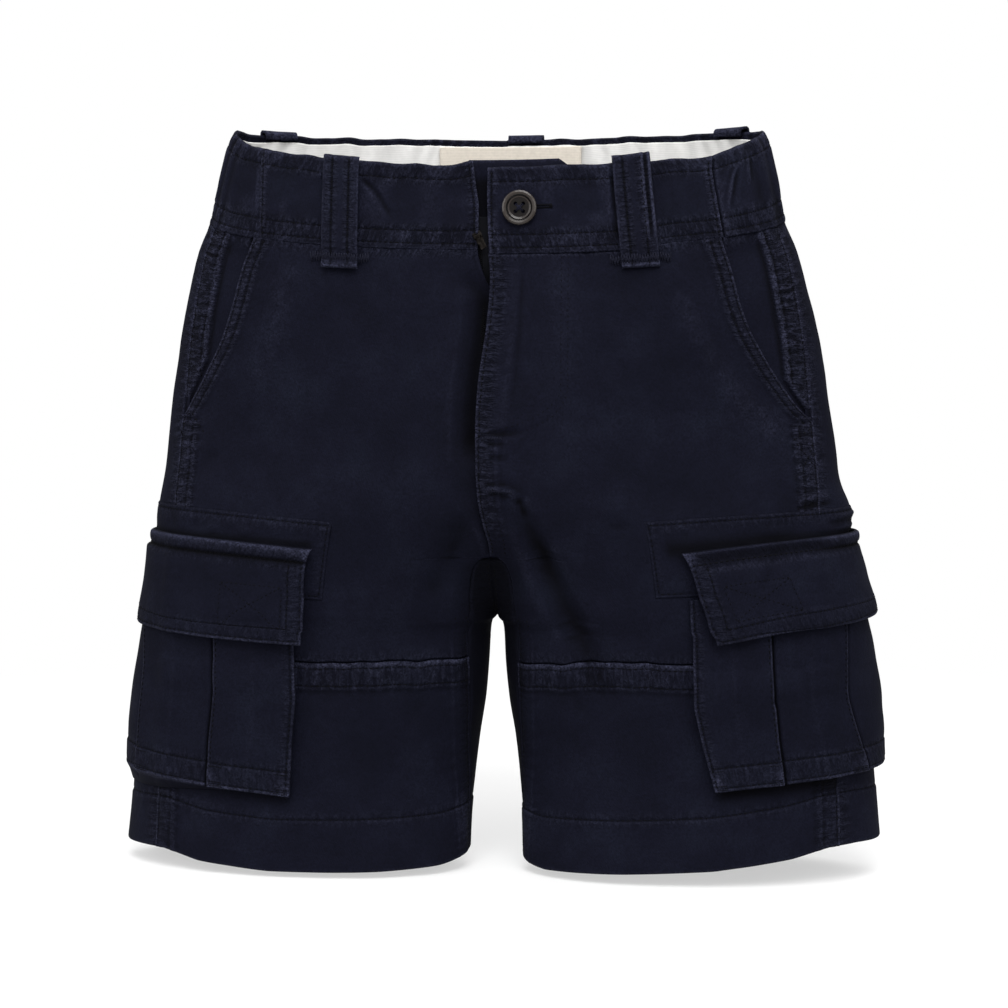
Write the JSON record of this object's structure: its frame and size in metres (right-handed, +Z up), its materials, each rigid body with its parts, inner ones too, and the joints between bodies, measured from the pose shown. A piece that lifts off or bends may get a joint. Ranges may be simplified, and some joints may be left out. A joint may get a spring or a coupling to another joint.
{
  "type": "cargo shorts",
  "caption": "Boys' navy cargo shorts in washed twill, filled out with no wearer: open waist and hems, bellows leg pockets with flaps, belt loops, button and zip fly.",
  "frame": {"origin": "middle of the waist opening, level with the top of the waistband at its sides, where the wearer's waist holds the shorts up", "axes": "+Z up, +X to the wearer's left, -Y is the front"},
  "size_m": [0.3854, 0.1141, 0.3665],
  "materials": {
    "navy_twill": "garment-washed cotton twill, matt",
    "lining_cotton": "plain off-white cotton, matt",
    "label_tape": "beige woven tape, bare",
    "zip_tape": "dark woven tape",
    "dark_metal": "black-nickel plated zinc",
    "button_resin": "dark brown moulded resin"
  },
  "bodies": {
    "shorts": {"front_upper_left": "navy_twill", "front_upper_right": "navy_twill", "front_lower_left": "navy_twill", "front_lower_right": "navy_twill", "hip_facing_left": "navy_twill", "hip_facing_right": "navy_twill", "back_left": "navy_twill", "back_right": "navy_twill", "waistband_front_left": "navy_twill", "waistband_front_right": "navy_twill", "waistband_back": "navy_twill", "waistband_lining": "lining_cotton", "label_patch": "label_tape", "loop_front_left": "navy_twill", "loop_front_right": "navy_twill", "loop_back_left": "navy_twill", "loop_back_centre": "navy_twill", "loop_back_right": "navy_twill", "fly_shield": "navy_twill", "zip_tape": "zip_tape", "zip_slider": "dark_metal", "button": "button_resin", "cargo_backing_left": "navy_twill", "cargo_backing_right": "navy_twill", "cargo_pocket_left": "navy_twill", "cargo_pocket_right": "navy_twill", "cargo_flap_left": "navy_twill", "cargo_flap_right": "navy_twill"},
    "pull": {"zip_pull": "dark_metal"}
  },
  "joints": [
    {"name": "pull_swing", "type": "hinge", "parent": "shorts", "child": "pull", "pos_m": [-0.00397, -0.05075, -0.05327], "axis": [-0.8779, -0.1066, -0.4668], "range_deg": [0, 165]}
  ]
}
